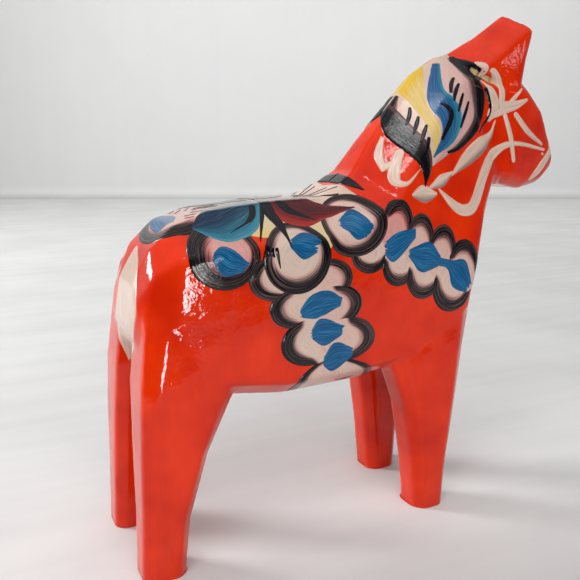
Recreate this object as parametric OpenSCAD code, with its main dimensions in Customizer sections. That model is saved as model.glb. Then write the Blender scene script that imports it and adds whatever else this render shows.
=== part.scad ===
// Painted wooden horse on four straight legs: a knife-carved pine body, a dipped coat of orange-red paint
// and the brush strokes of its saddle, girth, breast strap, mane and bridle, each as its own thin film.

/* [Size] */
// Height of the whole horse from the soles to the ears, in millimetres
height = 200; // [100:5:300]

/* [Carving] */
// Half width of the barrel, in millimetres of a 200 mm horse
barrel_half_w = 27; // [24:0.5:30]
// Half width of a hoof across the horse, in millimetres of a 200 mm horse
hoof_half_w = 7.4; // [6:0.2:9]
// Distance from the mid plane to the middle of a leg at the floor, in millimetres of a 200 mm horse
leg_spread = 20; // [18:0.5:21]
// How far the left legs stand outside the right ones' square, one ahead and one behind
left_leg_drift = 2; // [0:0.5:3]

/* [Paint] */
// Thickness of the dipped ground coat
coat_t = 0.3; // [0.2:0.05:0.5]
// Thickness of one brushed layer
film_t = 0.2; // [0.15:0.05:0.3]

/* [Colours] */
// Bare pine under the soles
pine_colour = "burlywood"; // [burlywood, wheat, tan]
// Dipped ground coat
coat_colour = "orangered"; // [orangered, firebrick, royalblue, black]

/* [Hidden] */
MIDDLE = [
    "pine_body", "ground_coat", "tail_stroke", "rump_lobe", "rump_dab", "chest_scallops", "chest_wave"
];
PAINTED = [
    "flank_lobe", "girth_lobe", "withers_lobe", "saddle_dabs", "teal_leaf", "red_leaf", "yellow_ground",
    "saddle_strokes", "neck_foot_patch", "girth_scallops", "girth_wave", "breast_scallops", "breast_wave",
    "mane_patch", "mane_rim", "yellow_petal", "blue_petal", "mane_dashes", "neck_scroll", "neck_leaves",
    "rein", "forelock", "cheek_strap", "nose_line", "muzzle_band"
];

k = height / 200;
skin = coat_t / k;
film = film_t / k;

// Outlines are drawn with x = 0 half way between the hooves. The part's own origin is on the floor,
// half way between the heels and the muzzle.
heel_x = -64.35 - left_leg_drift / 2;
muzzle_x = 130;
middle_x = (heel_x + muzzle_x) / 2;

// Where the marks that straddle the mid plane leave off: the front end of the tail, the lowest point
// of the marks on the rump, and the back and top of the middle of the breast strap.
tail_front_x = -45;
rump_floor_z = 100;
chest_x = 77;
chest_top_z = 118;

// A station is one cross-section: foot point [x, z], top point [x, z], centre y, half width,
// half widths of the flats at foot and top, and how far the corners are cut back at foot and top.
function foot(s) = s[0];
function top(s) = s[1];

function torso() = let (b = barrel_half_w) [
    [[-62, 86], [-60, 101], 0, b - 11, b - 15, b - 17, 4, 6],
    [[-60, 79], [-55, 112], 0, b - 5, b - 10, b - 14, 6, 8],
    [[-53, 70], [-46, 120], 0, b - 1, b - 7, b - 13, 7, 10],
    [[-36, 61.5], [-34, 124], 0, b, b - 8, b - 15, 6, 12],
    [[-10, 58], [-12, 126.5], 0, b, b - 8, b - 16, 6, 13],
    [[20, 59], [10, 127.5], 0, b - 1, b - 8, b - 16, 6, 13],
    [[45, 62], [20, 132], 0, b - 1, b - 8, b - 16, 6, 13]
];

function neck() = let (b = barrel_half_w) [
    [[45, 62], [20, 132], 0, b - 1, b - 8, b - 17, 6, 13],
    [[77, 75], [27, 137], 0, b - 1.5, b - 11, b - 19, 11, 14],
    [[83, 95], [35, 148], 0, b - 5, b - 13, b - 21, 9, 14],
    [[87, 118], [45, 160], 0, b - 8, b - 14, b - 23, 7, 13],
    [[91, 132], [57, 174], 0, b - 11, b - 16, b - 25, 4, 12],
    [[95, 131], [68, 181], 0, b - 13, b - 16, b - 25.5, 3, 11],
    [[94, 131.5], [77, 183.5], 0, b - 13.5, b - 16.5, b - 25.5, 3, 12]
];

function head() = let (b = barrel_half_w) [
    [[88, 134], [72, 181.5], 0, b - 13, b - 16, b - 25.5, 3, 12],
    [[99, 131], [108, 172], 0, b - 13.5, b - 17, b - 18, 3, 4],
    [[110, 129], [118, 163], 0, b - 15.5, b - 19, b - 19, 3, 3],
    [[121, 131], [126.5, 149], 0, b - 17.5, b - 20.5, b - 20.5, 3, 3],
    [[128.5, 137], [130, 142.5], 0, b - 19.5, b - 22, b - 21.5, 1.5, 1.5]
];

function ears() = [
    [[105, 166], [72, 181.5], 0, 13, 10, 1.5, 3, 12],
    [[108.5, 182], [89, 190.5], 0, 11, 9, 1.5, 2, 10],
    [[112, 193.5], [103, 200], 0, 9.5, 8.5, 1.5, 1, 9]
];

function hind_leg() = let (w = hoof_half_w, y = leg_spread) [
    [[-64.5, -2], [-50.5, -2], y, w, w - 3, w - 3, 3, 3],
    [[-63.5, 20], [-47, 20], y - 0.4, w + 0.5, w - 2, w - 3, 3.2, 3.4],
    [[-63, 44], [-40, 42], y - 1.6, w + 1.8, w - 0.6, w - 2.5, 3.6, 4],
    [[-62, 68], [-31, 60], y - 3.5, w + 3.4, w + 1.2, w - 1, 4, 5],
    [[-59.5, 88], [-24, 72], y - 4.5, w + 3.4, w, w - 1, 6, 6],
    [[-57, 106], [-18, 84], y - 7, w + 2.4, w - 4, w - 3, 8, 6]
];

function fore_leg() = let (w = hoof_half_w, y = leg_spread - 0.4) [
    [[50, -2], [62, -2], y, w, w - 3, w - 3, 3, 3],
    [[47, 20], [64, 20], y - 0.3, w + 0.3, w - 3, w - 3, 3.4, 3.4],
    [[43, 45], [67.5, 45], y - 1, w + 1, w - 2.4, w - 2.4, 4, 4],
    [[38, 60], [71, 66], y - 2.2, w + 1.6, w - 2, w - 2.4, 5, 5.5],
    [[31, 72], [76, 84], y - 4.4, w + 2.2, w - 3, w - 3, 6, 8],
    [[30, 88], [79, 102], y - 8, w + 2.5, w - 4, w - 4, 6, 9]
];

// The eight corners of a station, pushed out by g.
function corner(p, y) = [p[0], y, p[1]];
function ring(s, side, g) =
    let (u = (top(s) - foot(s)) / norm(top(s) - foot(s)), a = foot(s) - u * g, b = top(s) + u * g)
    [for (t = [-1, 1]) each [
        corner(a, side * s[2] + t * (s[4] + g / 2)),
        corner(a + u * (s[6] + g / 2), side * s[2] + t * (s[3] + g)),
        corner(b - u * (s[7] + g / 2), side * s[2] + t * (s[3] + g)),
        corner(b, side * s[2] + t * (s[5] + g / 2))
    ]];

// The step from one station's middle to the next one's, as a unit vector, which moves an end cap outward.
function middle(s) = (foot(s) + top(s)) / 2;
function along(a, b) = let (d = middle(b) - middle(a)) [d[0], 0, d[1]] / norm(d);

module slab(points) {
    hull() polyhedron(points, [[for (i = [0 : len(points) - 1]) i]]);
}

module limb(stations, side = 1, g = 0) {
    last = len(stations) - 2;
    for (i = [0 : last]) {
        step = along(stations[i], stations[i + 1]) * g;
        near_end = [for (p = ring(stations[i], side, g)) i == 0 ? p - step : p];
        far_end = [for (p = ring(stations[i + 1], side, g)) i == last ? p + step : p];
        slab(concat(near_end, far_end));
    }
}

// The whole carved form, pushed out by g and cut level at the soles.
module horse(g = 0) {
    intersection() {
        translate([-height, -height / 2, 0]) cube([2 * height, height, 2 * height]);
        carving(g);
    }
}

module carving(g) {
    limb(torso(), 1, g);
    limb(neck(), 1, g);
    limb(head(), 1, g);
    limb(ears(), 1, g);
    for (side = [-1, 1]) {
        drift = side > 0 ? left_leg_drift : 0;
        translate([-drift / 2, 0, 0]) limb(hind_leg(), side, g);
        translate([drift, 0, 0]) limb(fore_leg(), side, g);
    }
}

// Flat shapes of the brush work, drawn in side view: [x, z] seen from the horse's right.
// A round brush mark: centre and the two half axes, turned by tilt.
module blob(c, rx, rz, tilt = 0) {
    translate(c) rotate(tilt) scale([rx, rz]) circle(r = 1, $fn = 24);
}

// A brush stroke through points [x, z, half width].
module stroke(points) {
    for (i = [0 : len(points) - 2])
        hull() for (p = [points[i], points[i + 1]]) translate([p[0], p[1]]) circle(r = p[2], $fn = 10);
}

// A mark of a flat brush, wider than it is high, with one end slipped down.
module dab(c, w, h, tilt = 0) {
    translate(c) rotate(tilt) hull() for (end = [-1, 1], edge = [-1, 1])
        translate([end * w * 0.36 - edge * w * 0.06, edge * h * 0.26]) circle(r = h * 0.24, $fn = 8);
}

module flank_lobe_shape() blob([-32.5, 110.5], 12.3, 11.3);
module girth_lobe_shape() blob([-6.5, 108.5], 13.5, 13.3);
module withers_lobe_shape() blob([18, 118], 12.5, 11.2);

module saddle_dabs_shape() {
    dab([-31, 108.5], 14, 9, -22);
    dab([-4, 112.5], 13, 9, 10);
    dab([18, 118.7], 13, 10, 0);
}

module teal_leaf_shape() stroke([
    [-15, 124.5, 1.5], [-20, 122, 4.2], [-27, 120.3, 5], [-34, 119.5, 3.6], [-41, 119.3, 0.6]
]);

module red_leaf_shape() stroke([
    [-9, 123.5, 3], [-4, 123, 4.4], [2, 123, 4.2], [9, 122.8, 2.5], [17, 122.8, 0.6]
]);

module yellow_ground_shape() {
    polygon([
        [-21, 117], [-16, 123], [-15, 130], [-8, 130], [-7, 119], [4, 119.5], [3, 116.5], [-8, 115.5],
        [-16, 115.5]
    ]);
    polygon([[8, 125], [10, 132], [19, 135], [21, 131], [22, 127], [14, 126]]);
}

module saddle_strokes_shape() {
    stroke([[-13, 128, 1.5], [-12, 121, 1.2], [-10.6, 113.5, 0.4]]);
    stroke([[-15, 127, 0.8], [-16, 121, 0.9], [-19.5, 116, 0.3]]);
    stroke([[-18.5, 125, 0.9], [-19, 122.5, 1], [-23, 119, 0.4]]);
    stroke([[-7, 127, 1], [-3, 123, 1.2], [4, 120.7, 0.7], [10, 121, 0.3]]);
    for (i = [0 : 2]) stroke([[-18.5 + i * 2.4, 113.3, 0.7], [-17.5 + i * 2.2, 109.5 - i, 0.6]]);
}

module neck_foot_patch_shape() stroke([[18, 131.5, 1], [21, 131.5, 2.5], [25, 131, 0.8]]);

module girth_scallops_shape() {
    for (c = [[-18, 101], [8, 100.5]]) blob(c, 7.6, 7.2);
    for (c = [[-9.5, 91], [11.5, 90]]) blob(c, 8.6, 7.8);
    for (c = [[-4, 77.5], [16, 76]]) blob(c, 9.5, 8.5);
    stroke([[0, 100, 9], [2, 90, 9], [6, 77, 9]]);
    polygon([[-8, 64.5], [-2, 70], [20, 70], [24, 64], [29, 55], [-8, 55]]);
}

module girth_wave_shape() {
    blob([2.5, 91.3], 9.5, 4.3, 14);
    blob([5, 81], 7.4, 4.4, -10);
    blob([9.5, 71.5], 7.2, 4.6, -10);
    stroke([[1, 88, 1], [1, 84, 1]]);
    stroke([[6, 78, 1], [7, 75, 1]]);
}

module breast_scallops_shape() {
    for (c = [[35.5, 121], [46, 115.5], [57.5, 109.5]]) blob(c, 7, 7);
    for (c = [[22, 107], [36, 101.5]]) blob(c, 7.3, 7.3);
    blob([69, 102.5], 8.5, 7.8);
    blob([47.5, 97.5], 9, 9);
    blob([62, 92], 10, 10);
    stroke([[26, 110, 6], [40, 108, 8], [55, 102, 8], [72, 95, 9], [82, 95, 9]]);
}

module breast_wave_shape() {
    stroke([[33, 108, 3.5], [38, 112.5, 4], [40, 109, 1.5], [44.5, 106, 2.5], [49, 104.5, 5.2],
        [57, 101.3, 1.3],
        [63, 100.5, 2.5], [66.5, 96.5, 5.5], [69, 93.5, 4.5]]);
}

module mane_patch_shape() polygon([
    [41, 156], [52, 170], [60, 180], [68, 183], [76, 185], [79, 178], [78, 168], [78, 160],
    [72, 152], [62, 146],
    [53, 139], [50, 142], [46, 150]
]);

module mane_rim_shape() {
    stroke([[75, 184, 3], [77, 176, 3.2], [80, 168, 3], [81, 160, 3.4], [78, 154, 3.2],
        [72, 150, 1.8], [64, 146, 0.6]]);
    stroke([[41, 155, 1], [44, 150, 2.6], [48, 144, 3], [50.5, 139, 2.4], [49, 132, 0.6]]);
}

module yellow_petal_shape() polygon([
    [50, 168], [57, 176], [63, 182], [66, 180], [61, 172], [57, 164], [56, 157], [59, 150],
    [56, 145], [54, 149],
    [54, 156], [52, 162]
]);

module blue_petal_shape() stroke([
    [67, 179, 1.2], [64.5, 174, 2.4], [61.5, 167, 4], [61.5, 160, 5], [64, 154, 4], [62, 149, 1.8],
    [55, 143, 0.5]
]);

module mane_dashes_shape() {
    for (c = [[67.5, 169.5], [69, 166.5], [71, 163], [73, 159.5]])
        stroke([[c[0] + 1.8, c[1] + 3, 0.6], [c[0] - 1.4, c[1] - 3, 0.9]]);
    for (c = [[50, 158], [51, 154.5], [52, 150.5], [52, 146]])
        stroke([[c[0] + 1.5, c[1] + 3, 0.5], [c[0] - 1.4, c[1] - 3, 0.8]]);
    stroke([[62, 162, 0.8], [64, 157, 1.2], [61.5, 151, 0.9]]);
}

module neck_scroll_shape() {
    stroke([[39, 149, 1], [35.5, 144, 2], [35.5, 140, 2], [38, 140.5, 1]]);
    stroke([[42, 146, 1.2], [38.5, 139, 1.6], [36, 132.5, 1.4], [40, 134, 0.8], [46, 138, 0.3]]);
}

module neck_leaves_shape() {
    stroke([[43.5, 129, 0.8], [48, 129, 1.9], [53, 129.5, 1.2]]);
    stroke([[53, 132, 0.8], [57, 133.5, 2], [61, 134, 1]]);
    stroke([[60, 134, 0.5], [67, 140, 1.5], [75, 143.5, 2.2], [83, 149.5, 2], [88, 156, 0.6]]);
}

module rein_shape() stroke([
    [56, 130, 0.5], [62, 125, 1.4], [68, 122, 2.4], [75, 122.5, 2.6], [79, 129, 2.8],
    [84, 138, 2.8], [91, 144.5, 1.8],
    [101, 147, 1.1], [112, 147, 0.9], [122, 145.5, 0.7]
]);

module forelock_shape() {
    stroke([[85, 157, 1], [89, 162, 3], [95, 162, 2.5], [101, 164, 1.6], [106, 166, 0.6]]);
    stroke([[89, 163, 2], [88, 168, 2.4], [84, 172.5, 1]]);
    stroke([[91, 162, 1.5], [89, 169, 1.5], [91, 174, 1.8], [88.5, 175.5, 0.6]]);
    stroke([[94, 163, 1.4], [101, 168.5, 1], [104, 170, 0.4]]);
}

module cheek_strap_shape() stroke([[94, 159, 1], [97, 152, 1.3], [100, 146, 1.4], [101.5, 140, 1]]);
module nose_line_shape() stroke([[99, 160, 1], [106, 153.5, 1.2], [113, 149.5, 1], [120, 146.5, 0.8]]);
module muzzle_band_shape() stroke([[124.5, 148, 1.2], [125, 142, 1.5], [119, 136, 1.8], [113, 132, 0.6]]);

// A side-view shape as a right-hand or left-hand block that reaches from the mid plane out past the flank.
module block(side) {
    mirror([0, side == "_left" ? 1 : 0, 0]) rotate([90, 0, 0]) linear_extrude(barrel_half_w * 2) children();
}

// The thin layer on the ground coat, kept where it meets the children.
module on_coat(colour) {
    color(colour) placed() intersection() {
        difference() {
            horse(skin + film);
            horse(skin);
        }
        children();
    }
}

// One painted shape (first child) less the shapes brushed over it (the other children), on one side.
module painted(colour, side) {
    on_coat(colour) block(side) difference() {
        children(0);
        if ($children > 1) children([1 : $children - 1]);
    }
}

module placed() {
    scale(k) translate([-middle_x, 0, 0]) children();
}

module pine_body() {
    color(pine_colour) placed() horse();
}

module ground_coat() {
    color(coat_colour) placed() difference() {
        horse(skin);
        horse();
    }
}

// The tail is drawn looking forward along the horse: [y, z, half width].
module tail_shape() stroke([[-1, 110, 2], [-2, 103, 8], [-4, 93, 12], [-2, 86, 12.5], [-1, 80, 6]]);

module tail_stroke() {
    on_coat("linen") translate([-height, 0, 0]) rotate([90, 0, 90])
        linear_extrude(height + tail_front_x) tail_shape();
}

// The rump lobe and its dab are drawn in plan, straddling the spine.
module above_rump() {
    translate([0, 0, rump_floor_z]) linear_extrude(height) children();
}

module rump_block() {
    above_rump() blob([-41, 0], 12, 17);
}

module rump_dab_block() {
    above_rump() dab([-45.5, 0], 17, 7, 90);
}

module rump_lobe() {
    on_coat("lightpink") difference() {
        rump_block();
        rump_dab_block();
        for (side = ["_right", "_left"]) block(side) {
            flank_lobe_shape();
            teal_leaf_shape();
        }
    }
}

module rump_dab() {
    on_coat("steelblue") rump_dab_block();
}

// The strap's middle, across the front of the chest, drawn looking back along the horse.
module chest_block() {
    translate([chest_x, 0, 0]) rotate([90, 0, 90]) linear_extrude(height) children();
}

module chest_wave_shape() stroke([[-16, 93, 3], [-8, 97, 4], [0, 92, 4], [8, 97, 4], [16, 93, 3]]);

module chest_scallops() {
    on_coat("lightpink") chest_block() difference() {
        for (y = [-15, -5, 5, 15]) translate([y, 0]) hull() for (z = [92, 100]) blob([0, z], 6.5, 6.5);
        chest_wave_shape();
    }
}

module chest_wave() {
    on_coat("steelblue") chest_block() chest_wave_shape();
}

// Everything ahead of chest_x belongs to the middle of the strap.
module ahead_of_chest() translate([chest_x, 0]) square([height, chest_top_z]);

module flank_lobe(side) {
    painted("lightpink", side) {
        flank_lobe_shape();
        saddle_dabs_shape();
        teal_leaf_shape();
        saddle_strokes_shape();
        girth_lobe_shape();
    }
}

module girth_lobe(side) {
    painted("lightpink", side) {
        girth_lobe_shape();
        saddle_dabs_shape();
        saddle_strokes_shape();
        withers_lobe_shape();
        teal_leaf_shape();
        red_leaf_shape();
        yellow_ground_shape();
    }
}

module withers_lobe(side) {
    painted("lightpink", side) {
        withers_lobe_shape();
        saddle_dabs_shape();
        red_leaf_shape();
        saddle_strokes_shape();
        neck_foot_patch_shape();
        yellow_ground_shape();
    }
}

module saddle_dabs(side) {
    painted("steelblue", side) {
        saddle_dabs_shape();
    }
}

module teal_leaf(side) {
    painted("teal", side) {
        teal_leaf_shape();
        saddle_strokes_shape();
    }
}

module red_leaf(side) {
    painted("darkred", side) {
        red_leaf_shape();
        saddle_strokes_shape();
        saddle_dabs_shape();
    }
}

module yellow_ground(side) {
    painted("khaki", side) {
        yellow_ground_shape();
        saddle_strokes_shape();
        saddle_dabs_shape();
        teal_leaf_shape();
        red_leaf_shape();
        neck_foot_patch_shape();
    }
}

module saddle_strokes(side) {
    painted("midnightblue", side) {
        saddle_strokes_shape();
        saddle_dabs_shape();
    }
}

module neck_foot_patch(side) {
    painted("midnightblue", side) {
        neck_foot_patch_shape();
    }
}

module girth_scallops(side) {
    painted("lightpink", side) {
        girth_scallops_shape();
        girth_wave_shape();
        flank_lobe_shape();
        girth_lobe_shape();
        withers_lobe_shape();
        breast_scallops_shape();
    }
}

module girth_wave(side) {
    painted("steelblue", side) {
        girth_wave_shape();
        girth_lobe_shape();
    }
}

module breast_scallops(side) {
    painted("lightpink", side) {
        breast_scallops_shape();
        breast_wave_shape();
        withers_lobe_shape();
        ahead_of_chest();
    }
}

module breast_wave(side) {
    painted("steelblue", side) {
        breast_wave_shape();
        withers_lobe_shape();
    }
}

module mane_patch(side) {
    painted("lightpink", side) {
        mane_patch_shape();
        mane_rim_shape();
        yellow_petal_shape();
        blue_petal_shape();
        mane_dashes_shape();
        forelock_shape();
    }
}

module mane_rim(side) {
    painted("midnightblue", side) {
        mane_rim_shape();
        forelock_shape();
        neck_scroll_shape();
    }
}

module yellow_petal(side) {
    painted("khaki", side) {
        yellow_petal_shape();
        mane_rim_shape();
        blue_petal_shape();
        mane_dashes_shape();
    }
}

module blue_petal(side) {
    painted("steelblue", side) {
        blue_petal_shape();
        mane_dashes_shape();
        mane_rim_shape();
    }
}

module mane_dashes(side) {
    painted("midnightblue", side) {
        mane_dashes_shape();
        mane_rim_shape();
    }
}

module neck_scroll(side) {
    painted("linen", side) {
        neck_scroll_shape();
    }
}

module neck_leaves(side) {
    painted("linen", side) {
        neck_leaves_shape();
        mane_rim_shape();
        forelock_shape();
    }
}

module rein(side) {
    painted("linen", side) {
        rein_shape();
        neck_leaves_shape();
    }
}

module forelock(side) {
    painted("linen", side) {
        forelock_shape();
    }
}

module cheek_strap(side) {
    painted("linen", side) {
        cheek_strap_shape();
        forelock_shape();
        rein_shape();
        nose_line_shape();
    }
}

module nose_line(side) {
    painted("linen", side) {
        nose_line_shape();
        forelock_shape();
        rein_shape();
    }
}

module muzzle_band(side) {
    painted("linen", side) {
        muzzle_band_shape();
        rein_shape();
        nose_line_shape();
    }
}

pine_body();
ground_coat();
tail_stroke();
rump_lobe();
rump_dab();
chest_scallops();
chest_wave();
for (side = ["_right", "_left"]) {
    flank_lobe(side);
    girth_lobe(side);
    withers_lobe(side);
    saddle_dabs(side);
    teal_leaf(side);
    red_leaf(side);
    yellow_ground(side);
    saddle_strokes(side);
    neck_foot_patch(side);
    girth_scallops(side);
    girth_wave(side);
    breast_scallops(side);
    breast_wave(side);
    mane_patch(side);
    mane_rim(side);
    yellow_petal(side);
    blue_petal(side);
    mane_dashes(side);
    neck_scroll(side);
    neck_leaves(side);
    rein(side);
    forelock(side);
    cheek_strap(side);
    nose_line(side);
    muzzle_band(side);
}
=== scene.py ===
"""Dala horse: carved pine, a dipped orange-red coat and the brushwork of saddle, straps, mane and bridle."""

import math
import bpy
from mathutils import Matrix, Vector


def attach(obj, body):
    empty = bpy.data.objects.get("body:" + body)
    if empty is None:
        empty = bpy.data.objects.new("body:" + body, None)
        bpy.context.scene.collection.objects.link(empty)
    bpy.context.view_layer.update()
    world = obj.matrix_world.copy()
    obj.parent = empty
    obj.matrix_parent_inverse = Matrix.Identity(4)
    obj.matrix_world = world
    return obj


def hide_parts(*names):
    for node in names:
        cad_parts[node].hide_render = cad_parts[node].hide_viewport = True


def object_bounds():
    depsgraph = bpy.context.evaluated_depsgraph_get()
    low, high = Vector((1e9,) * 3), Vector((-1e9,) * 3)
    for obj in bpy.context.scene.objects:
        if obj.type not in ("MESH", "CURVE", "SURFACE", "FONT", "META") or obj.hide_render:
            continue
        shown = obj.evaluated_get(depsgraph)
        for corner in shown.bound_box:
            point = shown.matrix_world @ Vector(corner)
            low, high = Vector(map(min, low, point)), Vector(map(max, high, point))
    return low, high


bl_info = {
    "name": "Dala Horse",
    "version": (1, 0, 0),
    "blender": (4, 5, 0),
    "location": "3D View > Sidebar > Dala Horse",
    "description": "Builds the carved, dipped and brush-painted horse and its stage",
    "category": "Object",
}

import bmesh
import bpy
import numpy as np
from bpy.props import FloatProperty, FloatVectorProperty, IntProperty, PointerProperty
from mathutils import Vector, noise
from mathutils.bvhtree import BVHTree

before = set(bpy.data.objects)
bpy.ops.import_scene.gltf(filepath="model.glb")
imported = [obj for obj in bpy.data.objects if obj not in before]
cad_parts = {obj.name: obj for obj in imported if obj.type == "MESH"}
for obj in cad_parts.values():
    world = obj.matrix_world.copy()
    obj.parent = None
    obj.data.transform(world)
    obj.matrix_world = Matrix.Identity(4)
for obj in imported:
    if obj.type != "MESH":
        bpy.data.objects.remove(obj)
cad_box = [list(corner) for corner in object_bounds()]

MM = 0.001
RIGHT, LEFT = -1, 1
SIDES = ((RIGHT, "right"), (LEFT, "left"))
MID_HOOVES = 32.325  # millimetres from the part's origin back to the point half way between the hooves
SCALE = cad_box[1][2] / 0.2002  # the painted horse against one of 200 mm

RAY = 0.12  # how far a ray looks for the coat
CLEAR = 0.008  # how far above the coat a mark's points start
CLEAR_OF_WOOD = 0.025  # the same for a point that would start inside the wood
EDGE_SINK = 0.00003  # how far a mark's edge dips into the coat
EDGE_RISE = 0.0006  # width over which a mark rises from its edge
RIDGE = 0.000018  # height of the bristle ridges
BED = 0.0001  # how far a mark's underside lies in the coat
SHARP = 0.0004  # smoothing loss that counts as a sharp knife edge
SOLE_DROP = 0.006  # how far the legs are drawn down before the soles are cut
PINE_INSET = 0.00025  # gap for the coat round the pine
LIP = 0.0007  # how far the coat turns in under a hoof
LIP_LIFT = 0.00002  # height of that lip's edge over the floor
PANE_SHARE, CEILING_SHARE, GLINT_SHARE = 2.0, 0.7, 0.12  # of the pane light

coat_surface = {}  # the tree that every brush mark is pressed on


class HorseSizes(bpy.types.PropertyGroup):
    """Sizes of the carving's softness and of the paint."""

    mesh_size: FloatProperty(
        name="Mesh Size", description="Size of the coat's faces", default=0.00088, unit="LENGTH"
    )
    pine_mesh_size: FloatProperty(
        name="Pine Mesh Size", description="Size of the bare wood's faces", default=0.0016, unit="LENGTH"
    )
    softness: IntProperty(
        name="Edge Softness", description="Rounds of smoothing on the knife-cut edges", default=5, min=0
    )
    coat: FloatProperty(
        name="Coat", description="Thickness of the dipped coat", default=0.0003, unit="LENGTH"
    )
    paint: FloatProperty(
        name="Paint", description="Height of the lowest brush mark", default=0.00012, unit="LENGTH"
    )
    layer: FloatProperty(
        name="Layer", description="Height that each brush mark adds", default=0.00004, unit="LENGTH"
    )
    brush_step: FloatProperty(
        name="Brush Mesh Size", description="Size of a brush mark's faces", default=0.00055, unit="LENGTH"
    )


def colour(name, description, value):
    return FloatVectorProperty(
        name=name, description=description, subtype="COLOR", size=3, min=0, max=1, default=value
    )


class HorseColours(bpy.types.PropertyGroup):
    """Colours of the wood, the coat and each pot of paint."""

    pine: colour("Pine", "Bare wood under the hooves", (0.62, 0.42, 0.22))
    coat: colour("Coat", "Dipped orange-red", (0.66, 0.016, 0.0005))
    cream: colour("Cream", "Petal fill and bridle strokes", (0.60, 0.46, 0.38))
    rose: colour("Rose", "Cream worked into red", (0.60, 0.24, 0.22))
    blue: colour("Blue", "Dabs and waves", (0.004, 0.085, 0.215))
    teal: colour("Teal", "Rear leaf", (0.012, 0.12, 0.19))
    wine: colour("Wine", "Front leaf", (0.13, 0.006, 0.010))
    yellow: colour("Yellow", "Ground of the saddle and mane petal", (0.62, 0.44, 0.15))
    black: colour("Black", "Rims, commas and dashes", (0.003, 0.003, 0.005))


class HorseStage(bpy.types.PropertyGroup):
    """Where the camera and the lights stand."""

    camera_place: FloatVectorProperty(
        name="Camera", description="Place of the camera", default=(-0.1431, -0.2332, 0.1447), unit="LENGTH"
    )
    camera_yaw: FloatProperty(
        name="Yaw", description="Camera's turn to the horse's front", default=math.radians(26.1),
        subtype="ANGLE"
    )
    camera_pitch: FloatProperty(
        name="Pitch", description="How far the camera looks down", default=math.radians(11.6), subtype="ANGLE"
    )
    lens: FloatProperty(
        name="Lens", description="Focal length on a 36 mm frame", default=42.2, unit="CAMERA"
    )
    wall_distance: FloatProperty(
        name="Wall", description="From the camera to the backdrop", default=2.1, unit="LENGTH"
    )
    board_behind: FloatProperty(
        name="Board Behind", description="How far the floor reaches behind the camera",
        default=0.035, unit="LENGTH"
    )
    room_light: FloatProperty(name="Room Light", description="Brightness of the room", default=0.8, min=0)
    dark_side: FloatProperty(
        name="Dark Side", description="Brightness of the room behind the camera", default=0.025, min=0
    )
    fill_light: FloatProperty(
        name="Fill Light", description="Soft light over the camera", default=14.5, unit="POWER"
    )
    window_light: FloatProperty(
        name="Window Light", description="Low light from the left", default=16.0, unit="POWER"
    )
    pane_light: FloatProperty(
        name="Pane Light", description="Small bright pane seen in the gloss", default=0.75, unit="POWER"
    )
    wall_light: FloatProperty(
        name="Wall Light", description="Light on the backdrop", default=13.5, unit="POWER"
    )


# ---------------------------------------------------------------- points on the horse


def carved(x, out, z, side=RIGHT):
    """A point in the part's frame, from millimetres ahead of mid hooves, out from the mid plane and up."""
    return Vector((x - MID_HOOVES, side * out, z)) * MM * SCALE


def touch(start, way):
    """Where a line meets the coat, and the coat's outward direction there."""
    place, normal, _, _ = coat_surface["tree"].ray_cast(start, way, RAY)
    if place is None:
        place, normal, _, _ = coat_surface["tree"].find_nearest(start)
    return place, normal


def press(guess, normal):
    """Presses a point on the coat from a start that is clear of the wood."""
    start = guess + normal * CLEAR
    place, outward, _, _ = coat_surface["tree"].find_nearest(start)
    if (start - place).dot(outward) < 0:
        start = guess + normal * CLEAR_OF_WOOD
    return touch(start, -normal)


def on_coat(point, side):
    """(x, z) is a point in side view, (x, out, z) the nearest one on the coat."""
    if len(point) == 2:
        return touch(carved(point[0], 60, point[1], side), Vector((0, -side, 0)))
    place, normal, _, _ = coat_surface["tree"].find_nearest(carved(*point, side))
    return place, normal


def smooth_line(rows, step):
    """Rows of numbers, the first three a place, evened out about a step apart on a smooth curve."""
    rows = np.array(rows, float)
    ends = np.vstack([2 * rows[0] - rows[1], rows, 2 * rows[-1] - rows[-2]])
    fine = []
    for i in range(len(rows) - 1):
        a, b, c, d = ends[i : i + 4]
        for t in np.linspace(0, 1, 12, endpoint=False):
            fine.append(
                0.5 * (
                    2 * b + (c - a) * t + (
                        2 * a - 5 * b + 4 * c - d
                    ) * t**2 + (3 * b - a - 3 * c + d) * t**3
                )
            )
    fine = np.array([*fine, rows[-1]])
    run = np.concatenate([[0], np.cumsum(np.linalg.norm(np.diff(fine[:, :3], axis=0), axis=1))])
    count = max(4, round(run[-1] / step)) if isinstance(step, float) else step
    even = np.linspace(0, run[-1], count + 1)
    return np.column_stack([np.interp(even, run, fine[:, k]) for k in range(fine.shape[1])])


def edge_line(points, side):
    rows = []
    for point in points:
        place, normal = on_coat(point, side)
        rows.append([*place, *normal])
    return rows


def ease(x):
    x = min(1.0, max(0.0, x))
    return x * x * (3 - 2 * x)


# ---------------------------------------------------------------- brush marks


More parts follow.
